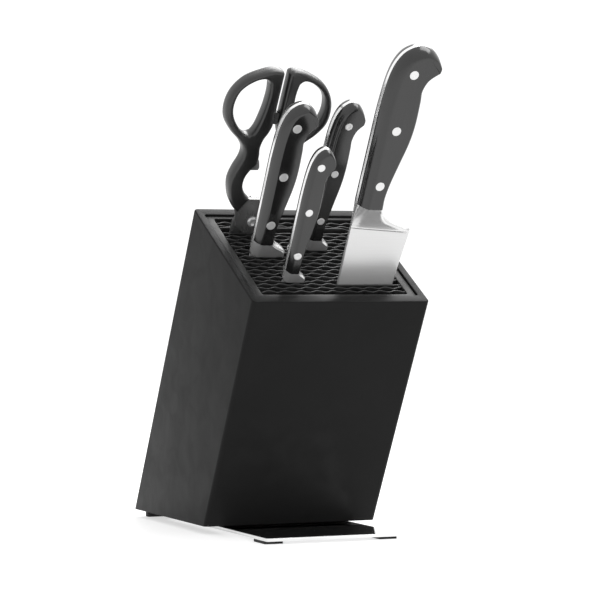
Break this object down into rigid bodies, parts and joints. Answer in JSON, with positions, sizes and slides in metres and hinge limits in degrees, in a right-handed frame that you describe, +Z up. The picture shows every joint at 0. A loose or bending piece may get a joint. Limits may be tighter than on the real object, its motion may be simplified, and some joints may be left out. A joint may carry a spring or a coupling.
{
  "type": "knife block with knives",
  "caption": "Forward-leaning knife block on a flat steel foot, with a lift-out lamella insert holding forged riveted-handle kitchen knives and kitchen scissors.",
  "frame": {"origin": "middle of the underside of the whole object's bounding box, on the ground", "axes": "+Z up, -Y towards the front that the block leans to, +X to the right seen from the front"},
  "size_m": [0.1242, 0.2878, 0.3073],
  "materials": {
    "casing": "satin black lacquer",
    "panel": "plain black, unfinished look",
    "insert": "satin dark grey moulded plastic",
    "lamella": "matt black flexible plastic strip",
    "foot_plate": "mirror-polished steel sheet",
    "foot": "matt black",
    "blade_steel": "fine-ground blade with polished bolster",
    "scale": "satin black moulded plastic",
    "rivet": "polished flush",
    "grip": "satin black moulded plastic",
    "screw": "plain"
  },
  "bodies": {
    "block": {"casing": "casing", "floor_panel": "panel", "base_plate": "foot_plate", "plate_screw_1": "screw", "plate_screw_2": "screw", "foot_front_left": "foot", "foot_front_right": "foot", "foot_back_left": "foot", "foot_back_right": "foot"},
    "insert": {"insert_frame": "insert", "lamella_01": "lamella", "lamella_02": "lamella", "lamella_03": "lamella", "lamella_04": "lamella", "lamella_05": "lamella", "lamella_06": "lamella", "lamella_07": "lamella", "lamella_08": "lamella", "lamella_09": "lamella", "lamella_10": "lamella", "lamella_11": "lamella", "lamella_12": "lamella", "lamella_13": "lamella", "lamella_14": "lamella", "lamella_15": "lamella", "lamella_16": "lamella", "lamella_17": "lamella", "lamella_18": "lamella", "lamella_19": "lamella", "lamella_20": "lamella", "lamella_21": "lamella"},
    "chef_knife": {"chef_knife_blade": "blade_steel", "chef_knife_front_scale": "scale", "chef_knife_rear_scale": "scale", "chef_knife_rivet_1": "rivet", "chef_knife_rivet_2": "rivet", "chef_knife_rivet_3": "rivet"},
    "slicing_knife": {"slicing_knife_blade": "blade_steel", "slicing_knife_front_scale": "scale", "slicing_knife_rear_scale": "scale", "slicing_knife_rivet_1": "rivet", "slicing_knife_rivet_2": "rivet", "slicing_knife_rivet_3": "rivet"},
    "utility_knife": {"utility_knife_blade": "blade_steel", "utility_knife_front_scale": "scale", "utility_knife_rear_scale": "scale", "utility_knife_rivet_1": "rivet", "utility_knife_rivet_2": "rivet", "utility_knife_rivet_3": "rivet"},
    "paring_knife": {"paring_knife_blade": "blade_steel", "paring_knife_front_scale": "scale", "paring_knife_rear_scale": "scale", "paring_knife_rivet_1": "rivet", "paring_knife_rivet_2": "rivet", "paring_knife_rivet_3": "rivet"},
    "scissors_right": {"scissors_right_blade": "blade_steel", "scissors_right_grip": "grip", "scissors_pivot": "rivet"},
    "scissors_left": {"scissors_left_blade": "blade_steel", "scissors_left_grip": "grip"}
  },
  "joints": [
    {"name": "insert_lift", "type": "slide", "parent": "block", "child": "insert", "axis": [0, -0.5, 0.866], "range_m": [0, 0.225]},
    {"name": "chef_knife_slide", "type": "slide", "parent": "insert", "child": "chef_knife", "axis": [0, -0.5, 0.866], "range_m": [0, 0.175]},
    {"name": "slicing_knife_slide", "type": "slide", "parent": "insert", "child": "slicing_knife", "axis": [0, -0.5, 0.866], "range_m": [0, 0.195]},
    {"name": "utility_knife_slide", "type": "slide", "parent": "insert", "child": "utility_knife", "axis": [0, -0.5, 0.866], "range_m": [0, 0.155]},
    {"name": "paring_knife_slide", "type": "slide", "parent": "insert", "child": "paring_knife", "axis": [0, -0.5, 0.866], "range_m": [0, 0.105]},
    {"name": "scissors_slide", "type": "slide", "parent": "insert", "child": "scissors_right", "axis": [0, -0.5, 0.866], "range_m": [0, 0.1]},
    {"name": "scissors_hinge", "type": "hinge", "parent": "scissors_right", "child": "scissors_left", "pos_m": [-0.02794, -0.00009, 0.20254], "axis": [0, -0.866, -0.5], "range_deg": [0, 40]}
  ]
}
